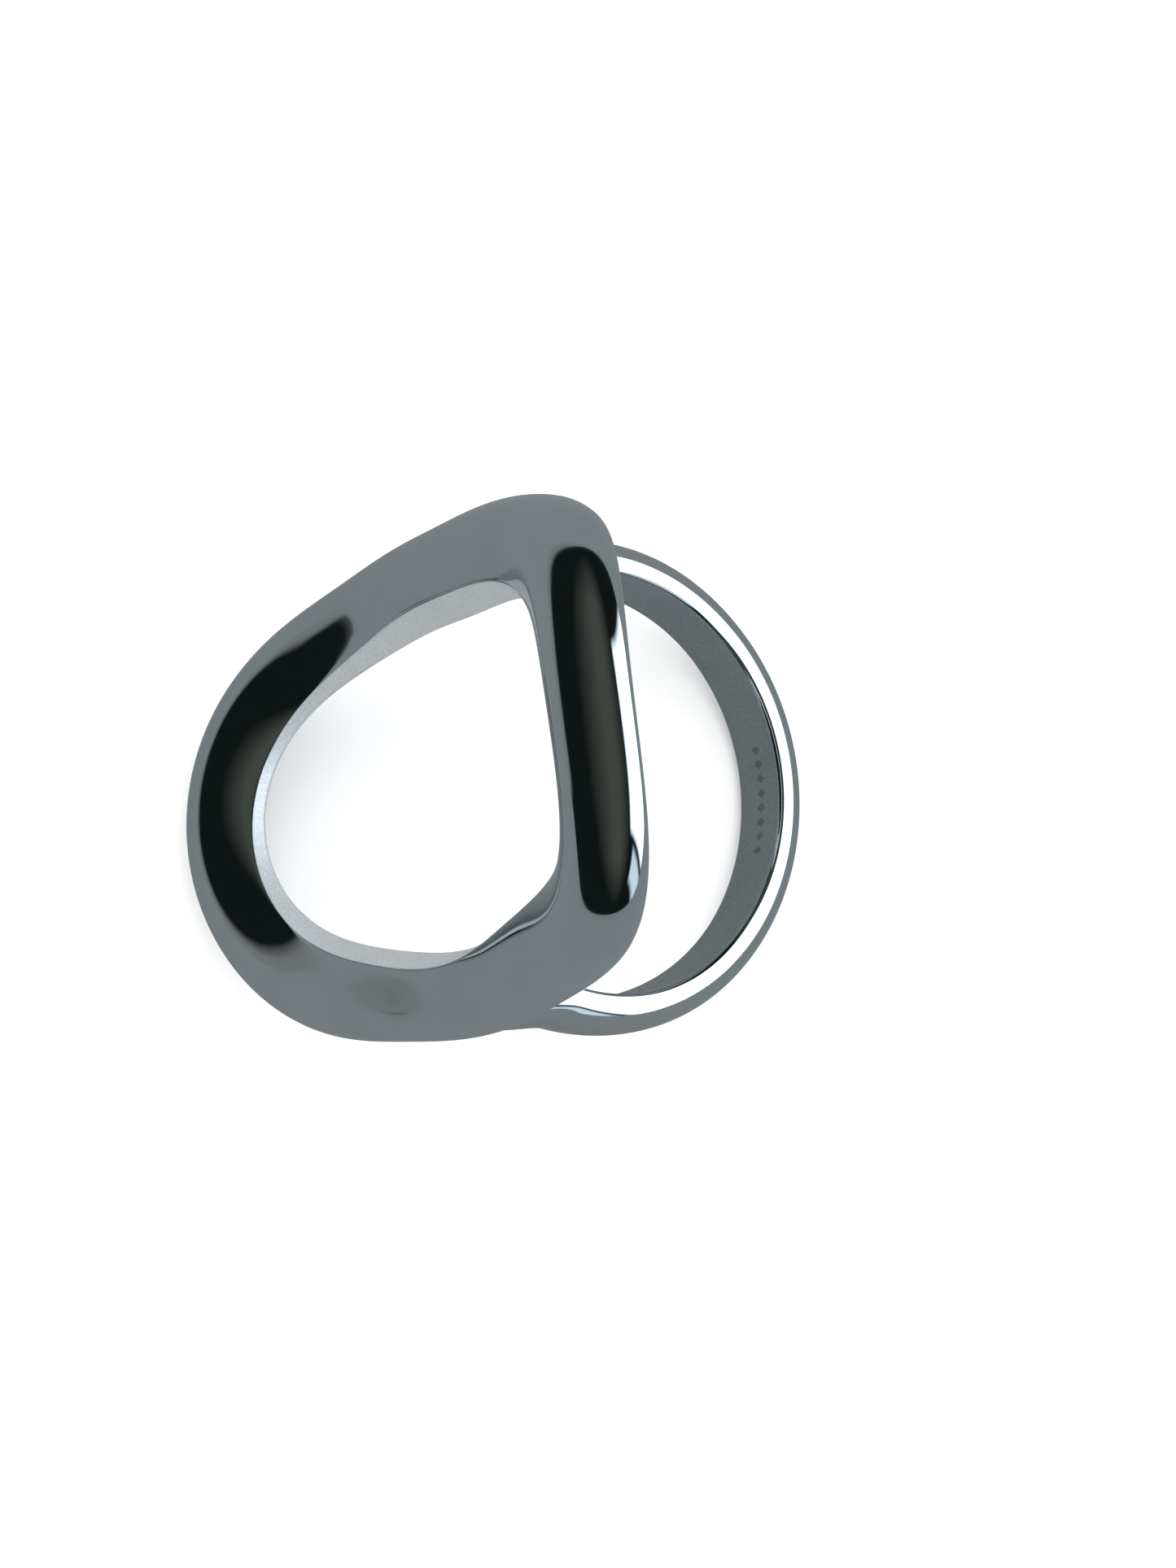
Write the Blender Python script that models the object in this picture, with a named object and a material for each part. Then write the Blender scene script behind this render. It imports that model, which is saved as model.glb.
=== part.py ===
"""A finger ring: a band whose two ends run into an openwork loop that lies over the finger.

Both pieces are half-round sections carried along a path that is bent round the finger. Sizes are
in millimetres until the points are made. A place is given by two lengths, as if the ring were
unrolled: along, the distance along the finger, and around, the distance round it. The band follows
the finger itself. The loop is bent round an axis LOOP_SINK below the finger's, so that it lies
flatter than the finger, and it is lifted a little where it would otherwise cut into the bore. The
ring is drawn with the finger along X and its front towards +Z, and an empty then lays it on the
table, where it rests on the loop's far limb and the back of the band.
"""
import math

import bmesh
import bpy
from mathutils import Vector

MM = 0.001

# The finger
BORE_RADIUS = 8.65
WRAP_RADIUS = 10.0

# The loop's centre line, unrolled: a circle about LOOP_CENTRE that each wave swells and narrows.
# A wave is (how many swellings, their share of the radius, the direction of one in degrees).
LOOP_CENTRE = (1.96, 0.09)
LOOP_RADIUS = 10.74
LOOP_WAVES = (
    (2, 0.1964, 5.5),
    (3, 0.0306, 57.7),
    (4, 0.0134, 0.7),
    (5, 0.0156, -28.3),
    (6, 0.0109, -21.0),
)

# How the loop is bent and lifted over the finger (lift waves are in millimetres)
LOOP_SINK = 8.68
LOOP_LIFT = 0.42
LOOP_LIFT_WAVES = ((1, 0.782, -167.1), (2, 0.657, 23.8))

# The loop's section, and how far its top leans towards the window for each unit of height
LOOP_WIDTH = 4.07
LOOP_WIDTH_WAVES = ((1, 0.006, -86.0), (2, 0.116, 4.8), (3, 0.057, -47.3))
LOOP_HEIGHT = 2.64
LOOP_HEIGHT_WAVES = ((1, 0.053, 104.7), (2, 0.123, 89.2))
LOOP_LEAN = -0.054
LOOP_LEAN_WAVES = ((1, 0.040, 153.7),)
LOOP_WINDOW_WALL = 0.80
LOOP_OUTER_WALL = 0.45
LOOP_FULLNESS = -0.159
LOOP_STATIONS = 100
LOOP_DOME_STEPS = 7

# The band
BAND_BACK_WIDTH = 3.05
BAND_FRONT_WIDTH = 4.30
BAND_HEIGHT = 1.60
BAND_END_HEIGHT = 2.30
BAND_END_FLARE = 0.60
BAND_WALL = 0.75
BAND_FULLNESS = 0.167
BAND_STATIONS = 90
BAND_DOME_STEPS = 5
BAND_TOP_END = 54.0
BAND_BOTTOM_END = 306.0
BAND_BACK = 180.0
BAND_LEVEL_SPAN = 40.0
BAND_WIDENING_SPAN = 76.0
BAND_FLARING_START = 105.0
BAND_FLARING_SPAN = 21.0

# All along both pieces
EDGE_ROUND = 0.20
JOINT_GAP = 0.30

# The turns about X, Y and Z, in degrees, that lay the ring on the table
REST_TURNS = (-2.9, -58.7, 6.2)

SMOOTH_ANGLE = 35.0


def clear_scene():
    for item in list(bpy.data.objects):
        bpy.data.objects.remove(item, do_unlink=True)


def make_collection(name):
    collection = bpy.data.collections.new(name)
    bpy.context.scene.collection.children.link(collection)
    return collection


def steel(name, colour, roughness):
    material = bpy.data.materials.new(name)
    material.use_nodes = True
    shader = material.node_tree.nodes["Principled BSDF"]
    shader.inputs["Base Color"].default_value = (*colour, 1.0)
    shader.inputs["Metallic"].default_value = 1.0
    shader.inputs["Roughness"].default_value = roughness
    return material


def wave_sum(waves, angle):
    """Add up the waves at an angle in radians."""
    return sum(
        share * math.cos(count * (angle - math.radians(direction)))
        for count, share, direction in waves
    )


def half_round(width, height, plus_wall, minus_wall, fullness, steps, grow=0.0):
    """List a section's outline as (across, height) pairs, with its flat side on the finger.

    The outline goes up the plus side, over a dome that is a quarter of a filled-out ellipse on
    each side, and down the minus side. grow makes the section thicker all round.
    """
    half = width / 2 + grow
    top = height + grow
    low = -grow
    points = [(half - EDGE_ROUND, low), (half, low + EDGE_ROUND)]
    for wall, side, order in (
        (plus_wall, 1, range(steps + 1)),
        (minus_wall, -1, range(steps - 1, -1, -1)),
    ):
        for step in order:
            turn = math.pi / 2 * step / steps
            cosine = math.cos(turn)
            sine = math.sin(turn)
            across = half * (cosine + fullness * cosine * sine**2)
            rise = (top - wall) * (sine + fullness * sine * cosine**2)
            points.append((side * across, wall + rise))
    points += [(-half, low + EDGE_ROUND), (-half + EDGE_ROUND, low)]
    return points


def bend(along, around, height, sink=0.0):
    """Bend an unrolled place round an axis that is sunk below the finger's."""
    angle = around / (WRAP_RADIUS + sink)
    radius = BORE_RADIUS + sink + height
    return Vector((along, radius * math.sin(angle), radius * math.cos(angle) - sink)) * MM


def loop_centre_line(angle):
    """Give the unrolled point of the loop's centre line at an angle in radians."""
    radius = LOOP_RADIUS * (1 + wave_sum(LOOP_WAVES, angle))
    return Vector(
        (LOOP_CENTRE[0] + radius * math.cos(angle), LOOP_CENTRE[1] + radius * math.sin(angle))
    )


def loop_section(angle, grow):
    """Set the loop's section across its centre line at an angle, window side inwards."""
    nudge = 0.001
    centre = loop_centre_line(angle)
    heading = (loop_centre_line(angle + nudge) - loop_centre_line(angle - nudge)).normalized()
    inward = Vector((-heading.y, heading.x))
    lean = LOOP_LEAN + wave_sum(LOOP_LEAN_WAVES, angle)
    lift = LOOP_LIFT + wave_sum(LOOP_LIFT_WAVES, angle)
    outline = half_round(
        LOOP_WIDTH * (1 + wave_sum(LOOP_WIDTH_WAVES, angle)),
        LOOP_HEIGHT * (1 + wave_sum(LOOP_HEIGHT_WAVES, angle)),
        LOOP_WINDOW_WALL,
        LOOP_OUTER_WALL,
        LOOP_FULLNESS,
        LOOP_DOME_STEPS,
        grow,
    )
    section = []
    for across, height in outline:
        place = centre + (across + lean * height) * inward
        section.append(bend(place.x, place.y, height + lift, LOOP_SINK))
    return section


def loop_sections(grow=0.0):
    """List the loop's sections at its stations."""
    return [
        loop_section(2 * math.pi * station / LOOP_STATIONS, grow)
        for station in range(LOOP_STATIONS)
    ]


def ease(share):
    """Go smoothly from 0 to 1, and stay there on both sides."""
    share = min(1.0, max(0.0, share))
    return share * share * (3 - 2 * share)


def band_sections():
    """Set the band's section at each station from its top end, round the back, to the other.

    The band keeps one width across the back and widens smoothly towards its ends, which thicken
    and flare outwards under the loop to meet it.
    """
    sections = []
    for station in range(BAND_STATIONS):
        turn = BAND_TOP_END + (BAND_BOTTOM_END - BAND_TOP_END) * station / (BAND_STATIONS - 1)
        from_back = abs(turn - BAND_BACK)
        widening = ease((from_back - BAND_LEVEL_SPAN) / BAND_WIDENING_SPAN)
        flaring = ease((from_back - BAND_FLARING_START) / BAND_FLARING_SPAN)
        outline = half_round(
            BAND_BACK_WIDTH + (BAND_FRONT_WIDTH - BAND_BACK_WIDTH) * widening,
            BAND_HEIGHT + (BAND_END_HEIGHT - BAND_HEIGHT) * flaring,
            BAND_WALL,
            BAND_WALL,
            BAND_FULLNESS,
            BAND_DOME_STEPS,
        )
        around = math.radians(turn) * WRAP_RADIUS
        lift = BAND_END_FLARE * flaring
        sections.append([bend(across, around, height + lift) for across, height in outline])
    return sections


def loft(name, sections, closed, collection):
    """Join the sections one to the next into a closed skin, capped if its ends don't meet."""
    shape = bmesh.new()
    rings = [[shape.verts.new(point) for point in section] for section in sections]
    pairs = list(zip(rings, rings[1:]))
    if closed:
        pairs.append((rings[-1], rings[0]))
    else:
        shape.faces.new(rings[0])
        shape.faces.new(rings[-1])
    for first, second in pairs:
        for index in range(len(first)):
            after = (index + 1) % len(first)
            shape.faces.new((first[index], first[after], second[after], second[index]))
    bmesh.ops.recalc_face_normals(shape, faces=shape.faces)
    mesh = bpy.data.meshes.new(name)
    shape.to_mesh(mesh)
    shape.free()
    mesh.shade_smooth()
    mesh.set_sharp_from_angle(angle=math.radians(SMOOTH_ANGLE))
    item = bpy.data.objects.new(name, mesh)
    collection.objects.link(item)
    return item


def make_rest(collection):
    """Make the empty that turns the ring to the way it lies on the table."""
    rest = bpy.data.objects.new("ring_rest", None)
    rest.rotation_euler = [math.radians(turn) for turn in REST_TURNS]
    collection.objects.link(rest)
    return rest


def set_on_table(rest, pieces):
    """Move the empty so that the middle of the ring's underside is the origin."""
    bpy.context.view_layer.update()
    points = [
        piece.matrix_world @ vertex.co for piece in pieces for vertex in piece.data.vertices
    ]
    low = Vector([min(point[axis] for point in points) for axis in range(3)])
    high = Vector([max(point[axis] for point in points) for axis in range(3)])
    middle = (low + high) / 2
    rest.location = (-middle.x, -middle.y, -low.z)


def make_loop(collection, rest):
    loop = loft("front_loop", loop_sections(), True, collection)
    loop.data.materials.append(steel("polished_steel", (0.62, 0.64, 0.67), 0.08))
    loop.parent = rest
    return loop


def make_band(collection, cutters, rest):
    """Make the band, with each end cut back to the loop's side less the soldering gap."""
    band = loft("band", band_sections(), False, collection)
    band.data.materials.append(steel("satin_steel", (0.60, 0.61, 0.63), 0.30))
    band.parent = rest
    clearance = loft("loop_clearance", loop_sections(JOINT_GAP), True, cutters)
    clearance.parent = rest
    clearance.display_type = "WIRE"
    clearance.hide_render = True
    cut = band.modifiers.new("loop_clearance", "BOOLEAN")
    cut.operation = "DIFFERENCE"
    cut.solver = "EXACT"
    cut.object = clearance
    return band


def main():
    clear_scene()
    parts = make_collection("openwork_loop_ring")
    cutters = make_collection("cutters")
    rest = make_rest(parts)
    loop = make_loop(parts, rest)
    band = make_band(parts, cutters, rest)
    set_on_table(rest, (loop, band))


main()
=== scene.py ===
import math

import bpy
import numpy as np
from mathutils import Euler, Matrix, Vector


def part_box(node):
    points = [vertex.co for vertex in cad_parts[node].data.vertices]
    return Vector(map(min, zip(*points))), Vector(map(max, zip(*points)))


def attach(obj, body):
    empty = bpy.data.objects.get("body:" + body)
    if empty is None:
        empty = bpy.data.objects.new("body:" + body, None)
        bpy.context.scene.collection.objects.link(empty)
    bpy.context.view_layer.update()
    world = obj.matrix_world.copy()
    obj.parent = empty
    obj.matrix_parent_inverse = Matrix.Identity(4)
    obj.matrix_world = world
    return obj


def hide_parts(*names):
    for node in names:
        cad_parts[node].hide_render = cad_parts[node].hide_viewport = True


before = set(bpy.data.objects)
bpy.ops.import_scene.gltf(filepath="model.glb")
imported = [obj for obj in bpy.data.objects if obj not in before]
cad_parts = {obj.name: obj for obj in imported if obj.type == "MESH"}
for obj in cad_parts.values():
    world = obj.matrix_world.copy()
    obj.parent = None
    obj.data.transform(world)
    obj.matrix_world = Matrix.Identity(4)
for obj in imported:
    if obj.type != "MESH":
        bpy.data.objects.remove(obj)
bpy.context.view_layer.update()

print("frame loaded: nodes", sorted(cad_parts))

mm = 0.001

# ---- how the ring lies: it is drawn with the finger along X and its front up, and then turned
lie = {
    "turns": (-2.9, -58.7, 6.2),  # degrees about X, Y and Z
    "boreRadius": 8.65,  # mm, as all lengths here
    "wrapRadius": 10.0,  # where lengths round the finger are measured
}


def waveSum(waves, angle):
    # sum of share * cos(count * (angle - direction)) over the waves, for a whole array of angles
    total = np.zeros_like(angle)
    for count, share, direction in waves:
        total = total + share * np.cos(count * (angle - math.radians(direction)))
    return total


def bend(along, around, height, sink):
    # bent round an axis sunk below the finger's: angle = around / (wrap + sink), x = along,
    # y = (bore + sink + height) * sin(angle), z = (bore + sink + height) * cos(angle) - sink
    angle = around / (lie["wrapRadius"] + sink)
    radius = lie["boreRadius"] + sink + height
    return np.stack([along, radius * np.sin(angle), radius * np.cos(angle) - sink], axis=-1)


def layDown(points):
    # turn the drawn points (mm) to the way the ring lies, in metres
    turn = Euler([math.radians(t) for t in lie["turns"]]).to_matrix()
    return points @ np.array(turn).T * mm


def quarterDome(start, end, side, width, low, top, fullness, steps):
    # an ellipse filled out at its shoulder: across = width * (cos t + fullness * cos t * sin^2 t)
    # and height = low + (top - low) * (sin t + fullness * sin t * cos^2 t), t from start to end
    t = np.linspace(start, end, steps)[None, :]
    across = width * (np.cos(t) + fullness * np.cos(t) * np.sin(t) ** 2)
    rise = np.sin(t) + fullness * np.sin(t) * np.cos(t) ** 2
    return side * across, low + (top - low) * rise


def straight(fromAcross, fromHeight, toAcross, toHeight, steps):
    # a straight run that leaves out its last point
    share = np.arange(steps)[None, :] / steps
    return fromAcross + (toAcross - fromAcross) * share, fromHeight + (toHeight - fromHeight) * share


def roundedEdge(centreAcross, centreHeight, radius, start, end, steps):
    # a circular arc about a centre: across = centre + radius * cos, height = centre + radius * sin
    t = np.linspace(start, end, steps)[None, :]
    return centreAcross + radius * np.cos(t), centreHeight + radius * np.sin(t)


def joinRuns(runs, rows):
    # put the runs of an outline end to end, as arrays (rows x outline) of across, height and satin
    def column(pick):
        return np.concatenate([np.broadcast_to(part, (rows, part.shape[1])) for part in map(pick, runs)], 1)

    across = column(lambda run: run[0][0])
    height = column(lambda run: run[0][1])
    satin = column(lambda run: np.full((rows, run[0][0].shape[1]), float(run[1])))
    return across, height, satin


def soften(values, passes):
    # round every corner of a closed outline: each point becomes (before + 2 * point + after) / 4
    for _ in range(passes):
        values = (np.roll(values, 1, axis=1) + 2 * values + np.roll(values, -1, axis=1)) / 4
    return values


def gridMesh(name, points, satin, unrolled, closedAlong):
    # a skin over a grid of points (stations x outline); the outline is closed, and so is the path
    # unless closedAlong is False, when each end is drawn in to a middle point
    stations, outline = points.shape[:2]
    station = np.arange(stations if closedAlong else stations - 1)[:, None]
    place = np.arange(outline)[None, :]
    nextStation = (station + 1) % stations
    nextPlace = (place + 1) % outline
    quads = np.stack(
        [
            station * outline + place,
            nextStation * outline + place,
            nextStation * outline + nextPlace,
            station * outline + nextPlace,
        ],
        axis=-1,
    ).reshape(-1, 4)
    # the UV map runs on past the seam, so that no pattern is squeezed into the last row
    corner = np.stack(
        [
            np.stack(np.broadcast_arrays(station, place), axis=-1),
            np.stack(np.broadcast_arrays(station + 1, place), axis=-1),
            np.stack(np.broadcast_arrays(station + 1, place + 1), axis=-1),
            np.stack(np.broadcast_arrays(station, place + 1), axis=-1),
        ],
        axis=2,
    ).reshape(-1, 2)
    vertices = points.reshape(-1, 3)
    satinValues = satin.reshape(-1)
    triangles = np.zeros((0, 3), int)
    if not closedAlong:
        ends = np.stack([points[0].mean(axis=0), points[-1].mean(axis=0)])
        vertices = np.concatenate([vertices, ends])
        satinValues = np.concatenate([satinValues, [1.0, 1.0]])
        first = place[0]
        last = (stations - 1) * outline + place[0]
        middle = stations * outline
        startCap = np.stack([np.full(outline, middle), first, nextPlace[0]], axis=-1)
        endCap = np.stack([np.full(outline, middle + 1), last - first + nextPlace[0], last], axis=-1)
        triangles = np.concatenate([startCap, endCap])
    mesh = bpy.data.meshes.new(name)
    mesh.vertices.add(len(vertices))
    mesh.vertices.foreach_set("co", vertices.astype(np.float32).ravel())
    mesh.loops.add(quads.size + triangles.size)
    mesh.loops.foreach_set("vertex_index", np.concatenate([quads.ravel(), triangles.ravel()]))
    starts = np.concatenate(
        [np.arange(len(quads)) * 4, quads.size + np.arange(len(triangles)) * 3]
    )
    mesh.polygons.add(len(starts))
    mesh.polygons.foreach_set("loop_start", starts)
    mesh.update(calc_edges=True)
    mesh.validate()
    uvValues = np.zeros((quads.size + triangles.size, 2))
    uvValues[: quads.size] = unrolled(corner[:, 0], corner[:, 1])
    uvMap = mesh.uv_layers.new(name="unrolled")
    uvMap.data.foreach_set("uv", uvValues.astype(np.float32).ravel())
    satinData = mesh.attributes.new("satin", "FLOAT", "POINT")
    satinData.data.foreach_set("value", satinValues.astype(np.float32))
    mesh.shade_smooth()
    piece = bpy.data.objects.new(name, mesh)
    bpy.context.scene.collection.objects.link(piece)
    return piece


# ---- front loop: a half-round section carried round a lopsided circle that is bent over the finger
loopShape = {
    "centre": (1.96, 0.09),
    "radius": 10.74,
    # a wave is (how many swellings, their share or their mm, the direction of one in degrees)
    "radiusWaves": (
        (2, 0.1964, 5.5),
        (3, 0.0306, 57.7),
        (4, 0.0134, 0.7),
        (5, 0.0156, -28.3),
        (6, 0.0109, -21.0),
    ),
    "sink": 8.68,  # how far the axis it is bent round lies below the finger's
    "lift": 0.42,
    "liftWaves": ((1, 0.782, -167.1), (2, 0.657, 23.8)),
    "width": 4.07,
    "widthWaves": ((1, 0.006, -86.0), (2, 0.116, 4.8), (3, 0.057, -47.3)),
    "height": 2.64,
    "heightWaves": ((1, 0.053, 104.7), (2, 0.123, 89.2)),
    "lean": -0.054,  # how far the top leans towards the window for each mm of height
    "leanWaves": ((1, 0.040, 153.7),),
    "windowWall": 1.20,  # height of the satin wall round the window
    "windowWallWaves": ((1, 0.10, 90.0), (2, 0.48, 80.0)),
    "outerWall": 0.45,
    "creaseStart": 17.0,  # degrees up the dome where the window wall cuts it
    "fullness": -0.159,
    "edgeRound": 0.20,
    "outerRound": 0.34,
    "stations": 520,
    "softenPasses": 3,
}


def loopPath(angle):
    # centre line (along, around) = centre + radius * (1 + waves) * (cos, sin), and the unit
    # direction across it, towards the window
    s = loopShape
    nudge = 1e-4
    places = []
    for a in (angle - nudge, angle, angle + nudge):
        radius = s["radius"] * (1 + waveSum(s["radiusWaves"], a))
        places.append(
            np.stack([s["centre"][0] + radius * np.cos(a), s["centre"][1] + radius * np.sin(a)], -1)
        )
    heading = places[2] - places[0]
    heading /= np.linalg.norm(heading, axis=-1, keepdims=True)
    return places[1], np.stack([-heading[:, 1], heading[:, 0]], axis=-1)


def loopOutline(angle):
    # the section at each station, as arrays (stations x outline) of across, height and satin
    s = loopShape
    half = (s["width"] * (1 + waveSum(s["widthWaves"], angle)) / 2)[:, None]
    top = (s["height"] * (1 + waveSum(s["heightWaves"], angle)))[:, None]
    wall = (s["windowWall"] * (1 + waveSum(s["windowWallWaves"], angle)))[:, None]
    edge = s["edgeRound"]
    outer = s["outerRound"]
    start = math.radians(s["creaseStart"])
    f = s["fullness"]
    # the window side of the dome starts part of the way up its ellipse, so that it meets the wall
    # at a crease: its width and low end are set so that it still passes through the wall's top
    cut = math.cos(start) + f * math.cos(start) * math.sin(start) ** 2
    rise = math.sin(start) + f * math.sin(start) * math.cos(start) ** 2
    domeLow = (wall - top * rise) / (1 - rise)
    runs = [
        (roundedEdge(half - edge, edge, edge, -math.pi / 2, 0, 7), 1),
        (straight(half, edge + 0.03, half, wall, 13), 1),
        (quarterDome(start, math.pi / 2, 1, half / cut, domeLow, top, f, 46), 0),
        (quarterDome(math.pi / 2, 0, -1, half, s["outerWall"], top, f, 50), 0),
        (straight(-half, s["outerWall"] - 0.03, -half, outer, 2), 0),
        (roundedEdge(-half + outer, outer, outer, math.pi, math.pi * 1.5, 10), 0),
        (straight(-half + outer + 0.06, 0 * half, half - edge, 0 * half, 34), 1),
    ]
    # the dome's two quarters share their top point, and the wall shares its top with the crease
    return joinRuns(runs, len(angle))


def makeLoop():
    s = loopShape
    angle = np.arange(s["stations"]) * 2 * math.pi / s["stations"]
    centre, inward = loopPath(angle)
    across, height, satin = loopOutline(angle)
    across = soften(across, s["softenPasses"])
    height = soften(height, s["softenPasses"])
    lean = (s["lean"] + waveSum(s["leanWaves"], angle))[:, None]
    lift = (s["lift"] + waveSum(s["liftWaves"], angle))[:, None]
    across = across + lean * height
    along = centre[:, :1] + across * inward[:, :1]
    around = centre[:, 1:] + across * inward[:, 1:]
    points = layDown(bend(along, around, height + lift, s["sink"]))
    pathLength = 2 * math.pi * s["radius"]
    outlineLength = 2 * s["width"] + 2 * s["height"]

    def unrolled(station, place):
        return np.stack(
            [station / s["stations"] * pathLength, place / across.shape[1] * outlineLength], axis=-1
        )

    return gridMesh("loopSkin", points, satin, unrolled, True)


loop = makeLoop()
# the drawn ring is moved so that the loop lies where its solid lies
drawnLow = np.array(loop.bound_box).min(axis=0)
drawnHigh = np.array(loop.bound_box).max(axis=0)
solidLow, solidHigh = (np.array(corner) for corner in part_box("front_loop"))
shift = (solidLow + solidHigh - drawnLow - drawnHigh) / 2
shift[2] = solidLow[2] - drawnLow[2]
loop.data.transform(Matrix.Translation(Vector(shift)))
ringCentre = Vector(shift)
print("loop made; ring centre (mm)", [round(c / mm, 3) for c in ringCentre])
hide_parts("front_loop")
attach(loop, "root")

# ---- band: a flatter half-round strip round the back of the finger, into the loop at both ends
bandShape = {
    "backWidth": 3.05,
    "frontWidth": 4.30,
    "height": 1.60,
    "wall": 0.45,
    "fullness": 0.04,
    "topEnd": 54.0,  # degrees round the finger, 0 at the front
    "bottomEnd": 306.0,
    "back": 180.0,
    "levelSpan": 40.0,  # degrees each side of the back that keep the back's width
    "wideningSpan": 76.0,
    "endHeight": 2.30,
    "endFlare": 0.60,
    "flaringStart": 105.0,  # degrees each side of the back
    "flaringSpan": 21.0,
    "edgeRound": 0.22,
    "stations": 480,
    "softenPasses": 2,
}


def ease(share):
    # (3 - 2x) * x^2 between 0 and 1
    x = np.clip(share, 0, 1)
    return x * x * (3 - 2 * x)


def makeBand():
    s = bandShape
    turn = np.linspace(s["topEnd"], s["bottomEnd"], s["stations"])
    fromBack = np.abs(turn - s["back"])[:, None]
    widening = ease((fromBack - s["levelSpan"]) / s["wideningSpan"])
    flaring = ease((fromBack - s["flaringStart"]) / s["flaringSpan"])
    half = (s["backWidth"] + (s["frontWidth"] - s["backWidth"]) * widening) / 2
    top = s["height"] + (s["endHeight"] - s["height"]) * flaring
    edge = s["edgeRound"]
    quarter = math.pi / 2
    runs = [
        (roundedEdge(half - edge, edge, edge, -quarter, 0, 7), 0),
        (straight(half, edge + 0.04, half, s["wall"], 8), 0),
        (quarterDome(0, quarter, 1, half, s["wall"], top, s["fullness"], 36), 0),
        (quarterDome(quarter, 0, -1, half, s["wall"], top, s["fullness"], 36), 0),
        (straight(-half, s["wall"] - 0.04, -half, edge + 0.04, 8), 0),
        (roundedEdge(-half + edge, edge, edge, math.pi, math.pi * 1.5, 7), 1),
        (straight(-half + edge + 0.05, 0 * half, half - edge, 0 * half, 40), 1),
    ]
    rows = len(turn)
    across, height, satin = joinRuns(runs, rows)
    across = soften(across, s["softenPasses"])
    height = soften(height, s["softenPasses"])
    around = np.radians(turn)[:, None] * lie["wrapRadius"] + 0 * across
    lift = s["endFlare"] * flaring
    points = layDown(bend(across, around, height + lift, 0.0)) + np.array(ringCentre)

    def unrolled(station, place):
        # u is the length round the finger (mm) from the back, v the distance across the band
        degrees = turn[0] + (turn[-1] - turn[0]) * station / (rows - 1)
        return np.stack(
            [
                np.radians(degrees - s["back"]) * lie["boreRadius"],
                across[np.minimum(station, rows - 1), place % across.shape[1]],
            ],
            axis=-1,
        )

    return gridMesh("bandSkin", points, satin, unrolled, False)


band = makeBand()
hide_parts("band")
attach(band, "root")
print("band made")


# ---- finishes
class Signal:
    # one output socket of a finish, so that sums on it read as plain expressions
    def __init__(self, finish, socket):
        self.finish = finish
        self.socket = socket

    def maths(self, operation, *values):
        return self.finish.add("ShaderNodeMath", {"operation": operation}, dict(enumerate(values)))

    def __add__(self, other):
        return self.maths("ADD", self, other)

    def __radd__(self, other):
        return self.maths("ADD", other, self)

    def __sub__(self, other):
        return self.maths("SUBTRACT", self, other)

    def __rsub__(self, other):
        return self.maths("SUBTRACT", other, self)

    def __mul__(self, other):
        return self.maths("MULTIPLY", self, other)

    def __rmul__(self, other):
        return self.maths("MULTIPLY", other, self)

    def __truediv__(self, other):
        return self.maths("DIVIDE", self, other)

    def __abs__(self):
        return self.maths("ABSOLUTE", self)


class Finish:
    # one material and its nodes; add() makes a node, its settings first and then its sockets
    def __init__(self, name):
        self.material = bpy.data.materials.new(name)
        self.material.use_nodes = True
        self.tree = self.material.node_tree
        self.tree.nodes.clear()

    def add(self, kind, settings=None, sockets=None, output=0):
        node = self.tree.nodes.new(kind)
        for key, value in (settings or {}).items():
            setattr(node, key, value)
        for key, value in (sockets or {}).items():
            if isinstance(value, Signal):
                self.tree.links.new(value.socket, node.inputs[key])
            else:
                node.inputs[key].default_value = value
        return Signal(self, node.outputs[output]) if node.outputs else None

    def mixColours(self, share, first, second):
        return self.add(
            "ShaderNodeMix", {"data_type": "RGBA"}, {0: share, 6: first, 7: second}, output=2
        )

    def between(self, value, low, high):
        # 0 below low, 1 above high, and an even slope between them
        return self.add(
            "ShaderNodeMapRange",
            {"clamp": True},
            {"Value": value, "From Min": low, "From Max": high, "To Min": 0.0, "To Max": 1.0},
        )


steelLook = {
    "polished": (0.58, 0.61, 0.64, 1.0),
    "satin": (0.66, 0.69, 0.71, 1.0),
    "polishedRoughness": 0.045,
    "satinRoughness": 0.42,
    "wallMetallic": 0.5,  # the brushed wall round the window scatters more light than the bore
    "smudgeSize": 0.0022,  # metres across one faint smudge
    "grainSize": 0.00009,
    "waveSize": 0.0009,
    "waveDepth": 0.0000016,
    "grainDepth": 0.0000035,
}

marks = {
    "middle": 0.6,  # mm round the finger from the back
    "across": 0.1,  # mm from the middle of the band
    "pitch": 0.62,
    "count": 8,
    "long": 0.22,
    "tall": 0.30,
    "depth": 0.00002,
}


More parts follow.
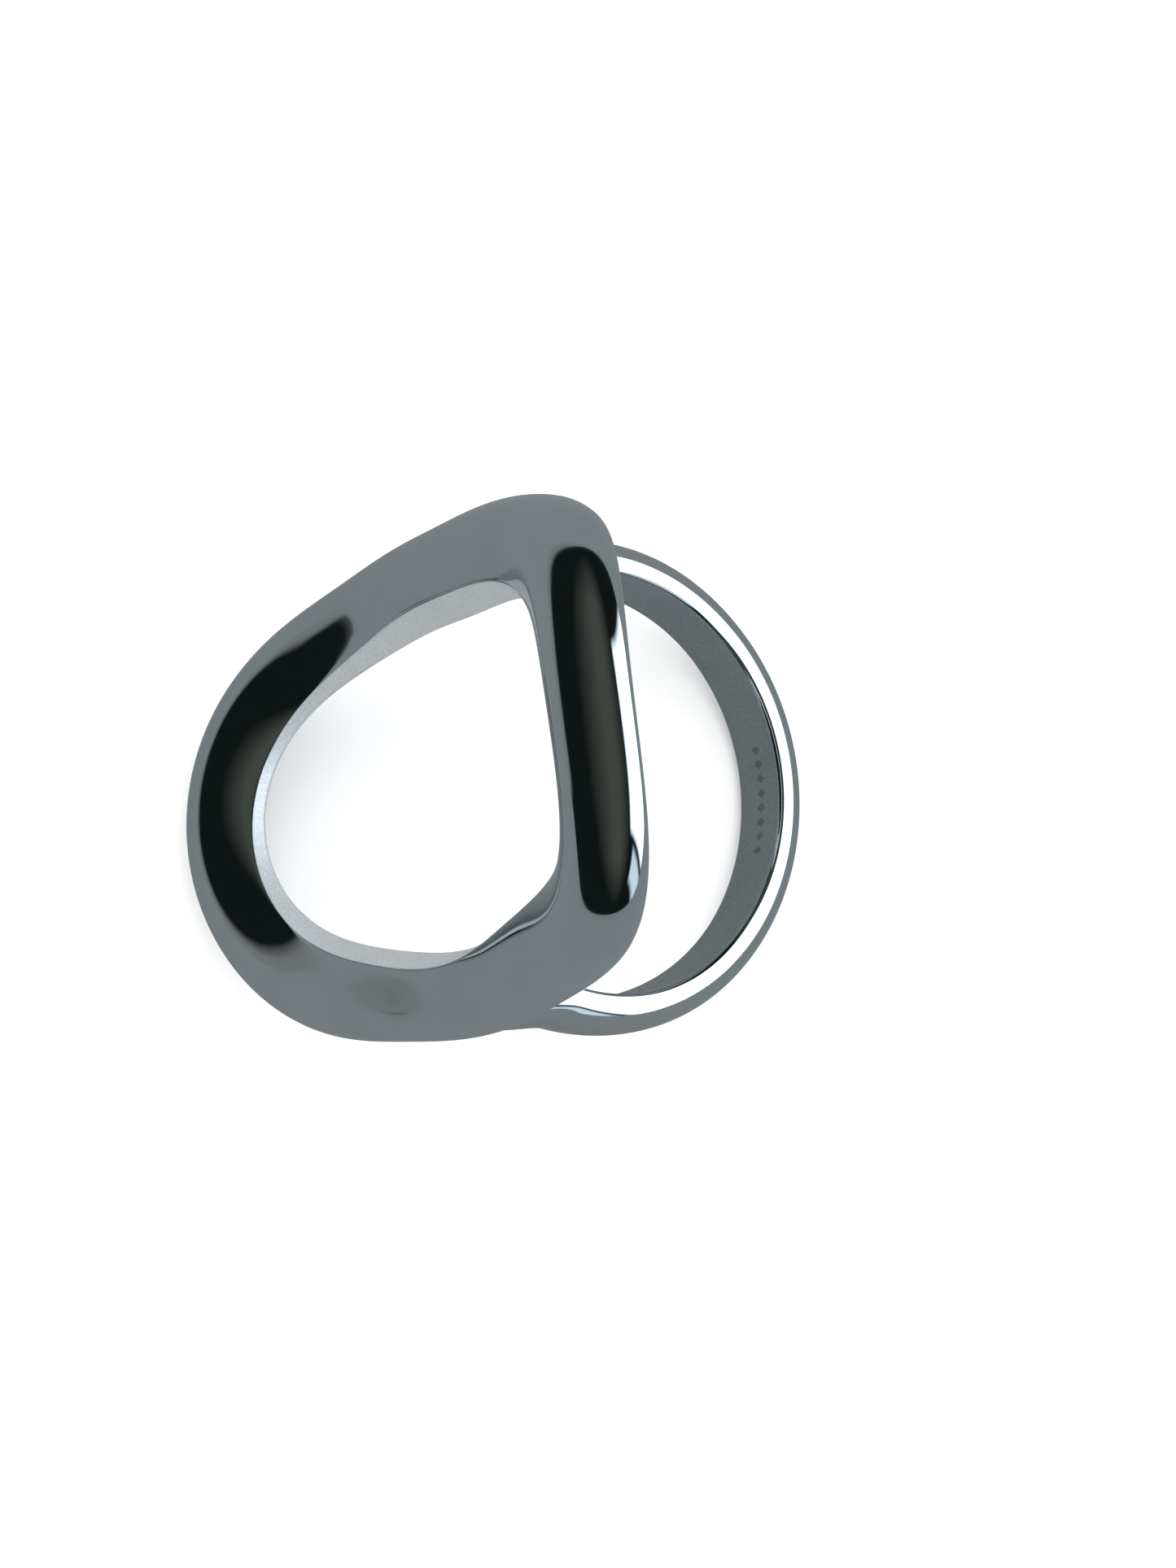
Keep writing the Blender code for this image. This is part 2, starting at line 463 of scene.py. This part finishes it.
def makeSteel(name, withMarks):
    look = steelLook
    steel = Finish(name)
    place = steel.add("ShaderNodeTexCoord", output=3)
    satin = steel.add("ShaderNodeAttribute", {"attribute_name": "satin"}, output=2)
    smudge = steel.add(
        "ShaderNodeTexNoise", {}, {"Vector": place, "Scale": 1 / look["smudgeSize"], "Detail": 4.0}
    )
    grain = steel.add(
        "ShaderNodeTexNoise", {}, {"Vector": place, "Scale": 1 / look["grainSize"], "Detail": 3.0}
    )
    waves = steel.add(
        "ShaderNodeTexNoise", {}, {"Vector": place, "Scale": 1 / look["waveSize"], "Detail": 1.0}
    )
    cloud = steel.between(smudge, 0.42, 0.68)
    speck = steel.between(grain, 0.3, 0.7)
    height = waves * look["waveDepth"] * (1 - satin) + grain * look["grainDepth"] * satin
    shade = speck * 0.30 * satin + cloud * 0.05
    if withMarks:
        m = marks
        spread = steel.add("ShaderNodeUVMap", {"uv_map": "unrolled"})
        split = steel.add("ShaderNodeSeparateXYZ", {}, {0: spread})
        across = steel.add("ShaderNodeSeparateXYZ", {}, {0: spread}, output=1)
        run = split - (m["middle"] - m["pitch"] * m["count"] / 2)
        cell = run.maths("FLOORED_MODULO", run, m["pitch"]) - m["pitch"] / 2
        reach = abs(cell) / m["long"] + abs(across - m["across"]) / m["tall"]
        inRow = run.maths("GREATER_THAN", run, 0.0) * run.maths(
            "LESS_THAN", run, m["pitch"] * m["count"]
        )
        etched = (1 - steel.between(reach, 0.80, 1.0)) * inRow * satin
        height = height - etched * m["depth"]
        shade = shade + etched * 0.45
    colour = steel.mixColours(satin, look["polished"], look["satin"])
    colour = steel.mixColours(shade, colour, (0.20, 0.22, 0.23, 1.0))
    rough = (
        look["polishedRoughness"]
        + cloud * 0.05
        + satin * (look["satinRoughness"] - look["polishedRoughness"])
        + speck * satin * 0.08
    )
    metallic = 1.0 if withMarks else 1 - satin * (1 - look["wallMetallic"])
    bump = steel.add("ShaderNodeBump", {}, {"Strength": 1.0, "Distance": 1.0, "Height": height})
    shader = steel.add(
        "ShaderNodeBsdfPrincipled",
        {},
        {"Base Color": colour, "Metallic": metallic, "Roughness": rough, "Normal": bump},
    )
    steel.add("ShaderNodeOutputMaterial", {}, {"Surface": shader})
    return steel.material


loop.data.materials.append(makeSteel("polishedSteel", False))
band.data.materials.append(makeSteel("bandSteel", True))
print("finishes made")


# ---- stage: a pale floor, a grey table card whose grey is painted shade of the table and is seen only in reflections, and a half dome of soft panels for the reflections
studio = {
    "floorSide": 3.0,
    "floorColour": (0.94, 0.94, 0.94, 1.0),
    # the table card's grey is painted shade: the table as reflections see it, shaded from overhead and
    # darker than the floor
    "shadedTableTone": (0.185, 0.205, 0.208, 1.0),
    "tableLift": 0.00001,  # metres that the table card lies over the floor
    "domeRadius": 1.4,
    "worldStrength": 1.35,
    "roomTone": (0.26, 0.27, 0.26, 1.0),
    # each panel: (left, right, down, up, softness) in degrees from overhead, and its tone; the
    # dark room comes first, then a faint glow overhead, a wide window and a small one
    "panels": (
        ((-91.0, 100.0, -95.0, -14.0, 3.0), (0.008, 0.012, 0.011, 1.0)),
        ((-84.0, 100.0, -20.0, 95.0, 3.0), (0.008, 0.012, 0.011, 1.0)),
        ((-30.0, 12.0, -70.0, 70.0, 14.0), (0.085, 0.095, 0.078, 1.0)),
        ((28.0, 110.0, -38.0, 40.0, 3.0), (2.0, 2.3, 2.5, 1.0)),
        ((40.0, 100.0, -66.0, -46.0, 3.0), (0.9, 1.1, 1.2, 1.0)),
    ),
}


def flatCard(name, side, height, colour):
    half = side / 2
    mesh = bpy.data.meshes.new(name)
    corners = [(x * half, y * half, height) for x, y in ((-1, -1), (1, -1), (1, 1), (-1, 1))]
    mesh.from_pydata(corners, [], [(0, 1, 2, 3)])
    card = bpy.data.objects.new(name, mesh)
    bpy.context.scene.collection.objects.link(card)
    paint = Finish(name + "Paint")
    shader = paint.add(
        "ShaderNodeBsdfPrincipled",
        {},
        {"Base Color": colour, "Roughness": 0.9, "Specular IOR Level": 0.0},
    )
    paint.add("ShaderNodeOutputMaterial", {}, {"Surface": shader})
    mesh.materials.append(paint.material)
    return card


floor = flatCard("floor", studio["floorSide"], 0.0, studio["floorColour"])
floor.visible_glossy = False
# a card just over the floor that only reflections see; its grey is painted shade standing for the table in
# the shade from overhead
shadedTableCard = flatCard("shadedTableCard", studio["floorSide"], studio["tableLift"], studio["shadedTableTone"])
shadedTableCard.visible_camera = False
shadedTableCard.visible_diffuse = False
shadedTableCard.visible_shadow = False


def makeDome():
    # half a sphere over the table, seen only in reflections
    s = studio
    columns = 96
    rows = 24
    turn = np.arange(columns) * 2 * math.pi / columns
    climb = np.linspace(0, math.pi / 2, rows + 1)[:-1]
    ring = np.stack(np.broadcast_arrays(np.cos(turn)[None], np.sin(turn)[None], 0.0), -1)
    points = s["domeRadius"] * (
        np.cos(climb)[:, None, None] * ring + np.sin(climb)[:, None, None] * np.array([0.0, 0.0, 1.0])
    )
    vertices = np.concatenate([points.reshape(-1, 3), [[0, 0, s["domeRadius"]]]])
    row = np.arange(rows - 1)[:, None] * columns
    column = np.arange(columns)[None, :]
    after = (column + 1) % columns
    quads = np.stack([row + column, row + after, row + columns + after, row + columns + column], -1)
    crown = np.stack(
        [
            (rows - 1) * columns + column[0],
            (rows - 1) * columns + after[0],
            np.full(columns, len(vertices) - 1),
        ],
        -1,
    )
    mesh = bpy.data.meshes.new("studioDome")
    mesh.from_pydata(vertices.tolist(), [], quads.reshape(-1, 4).tolist() + crown.tolist())
    dome = bpy.data.objects.new("studioDome", mesh)
    bpy.context.scene.collection.objects.link(dome)
    dome.visible_camera = False
    dome.visible_diffuse = False
    dome.visible_shadow = False
    glow = Finish("domeGlow")
    place = glow.add("ShaderNodeTexCoord", output=3)
    x, y, z = (glow.add("ShaderNodeSeparateXYZ", {}, {0: place}, output=i) for i in range(3))
    sideways = x.maths("ARCTAN2", x, z) * (180 / math.pi)
    upDown = (y / s["domeRadius"]).maths("ARCSINE", y / s["domeRadius"]) * (180 / math.pi)
    colour = s["roomTone"]
    for (left, right, down, up, soft), tone in s["panels"]:
        inside = (
            glow.between(sideways, left - soft, left + soft)
            * (1 - glow.between(sideways, right - soft, right + soft))
            * glow.between(upDown, down - soft, down + soft)
            * (1 - glow.between(upDown, up - soft, up + soft))
        )
        colour = glow.mixColours(inside, colour, tone)
    shine = glow.add("ShaderNodeEmission", {}, {"Color": colour, "Strength": 1.0})
    glow.add("ShaderNodeOutputMaterial", {}, {"Surface": shine})
    mesh.materials.append(glow.material)
    return dome


makeDome()


def makeWorld():
    world = bpy.data.worlds.new("softWorld")
    world.use_nodes = True
    background = world.node_tree.nodes["Background"]
    background.inputs["Color"].default_value = (1.0, 1.0, 1.0, 1.0)
    background.inputs["Strength"].default_value = studio["worldStrength"]
    bpy.context.scene.world = world


makeWorld()
lampSetup = {
    "place": (0.10, 0.35, 0.60),  # metres
    "size": 0.50,
    "power": 1.6,  # watts
}


def makeLamp():
    s = lampSetup
    light = bpy.data.lights.new("softTop", "AREA")
    light.size = s["size"]
    light.energy = s["power"]
    lamp = bpy.data.objects.new("softTop", light)
    lamp.location = s["place"]
    lamp.rotation_euler = Vector(s["place"]).to_track_quat("Z", "Y").to_euler()
    lamp.visible_camera = False
    lamp.visible_glossy = False
    bpy.context.scene.collection.objects.link(lamp)


makeLamp()
bpy.context.scene.view_settings.view_transform = "Standard"
print("stage set")

# ---- camera: nearly straight down on the ring where it lies
cameraSetup = {
    "lens": 74.7,
    "distance": 0.1342,
    "lean": 4.394,  # degrees from upright, towards -Y
    "sideLean": -2.236,  # degrees from upright, towards -X
    "aim": (-0.00012, 0.00012),  # metres right and up of the ring's centre
}


def makeCamera():
    s = cameraSetup
    data = bpy.data.cameras.new("camera")
    data.lens = s["lens"]
    data.sensor_width = 36.0
    data.clip_start = 0.005
    data.clip_end = 20.0
    camera = bpy.data.objects.new("camera", data)
    turn = Euler((math.radians(s["lean"]), math.radians(s["sideLean"]), 0.0))
    back = turn.to_matrix() @ Vector((s["aim"][0], s["aim"][1], s["distance"]))
    camera.rotation_euler = turn
    camera.location = ringCentre + back
    bpy.context.scene.collection.objects.link(camera)
    bpy.context.scene.camera = camera


makeCamera()
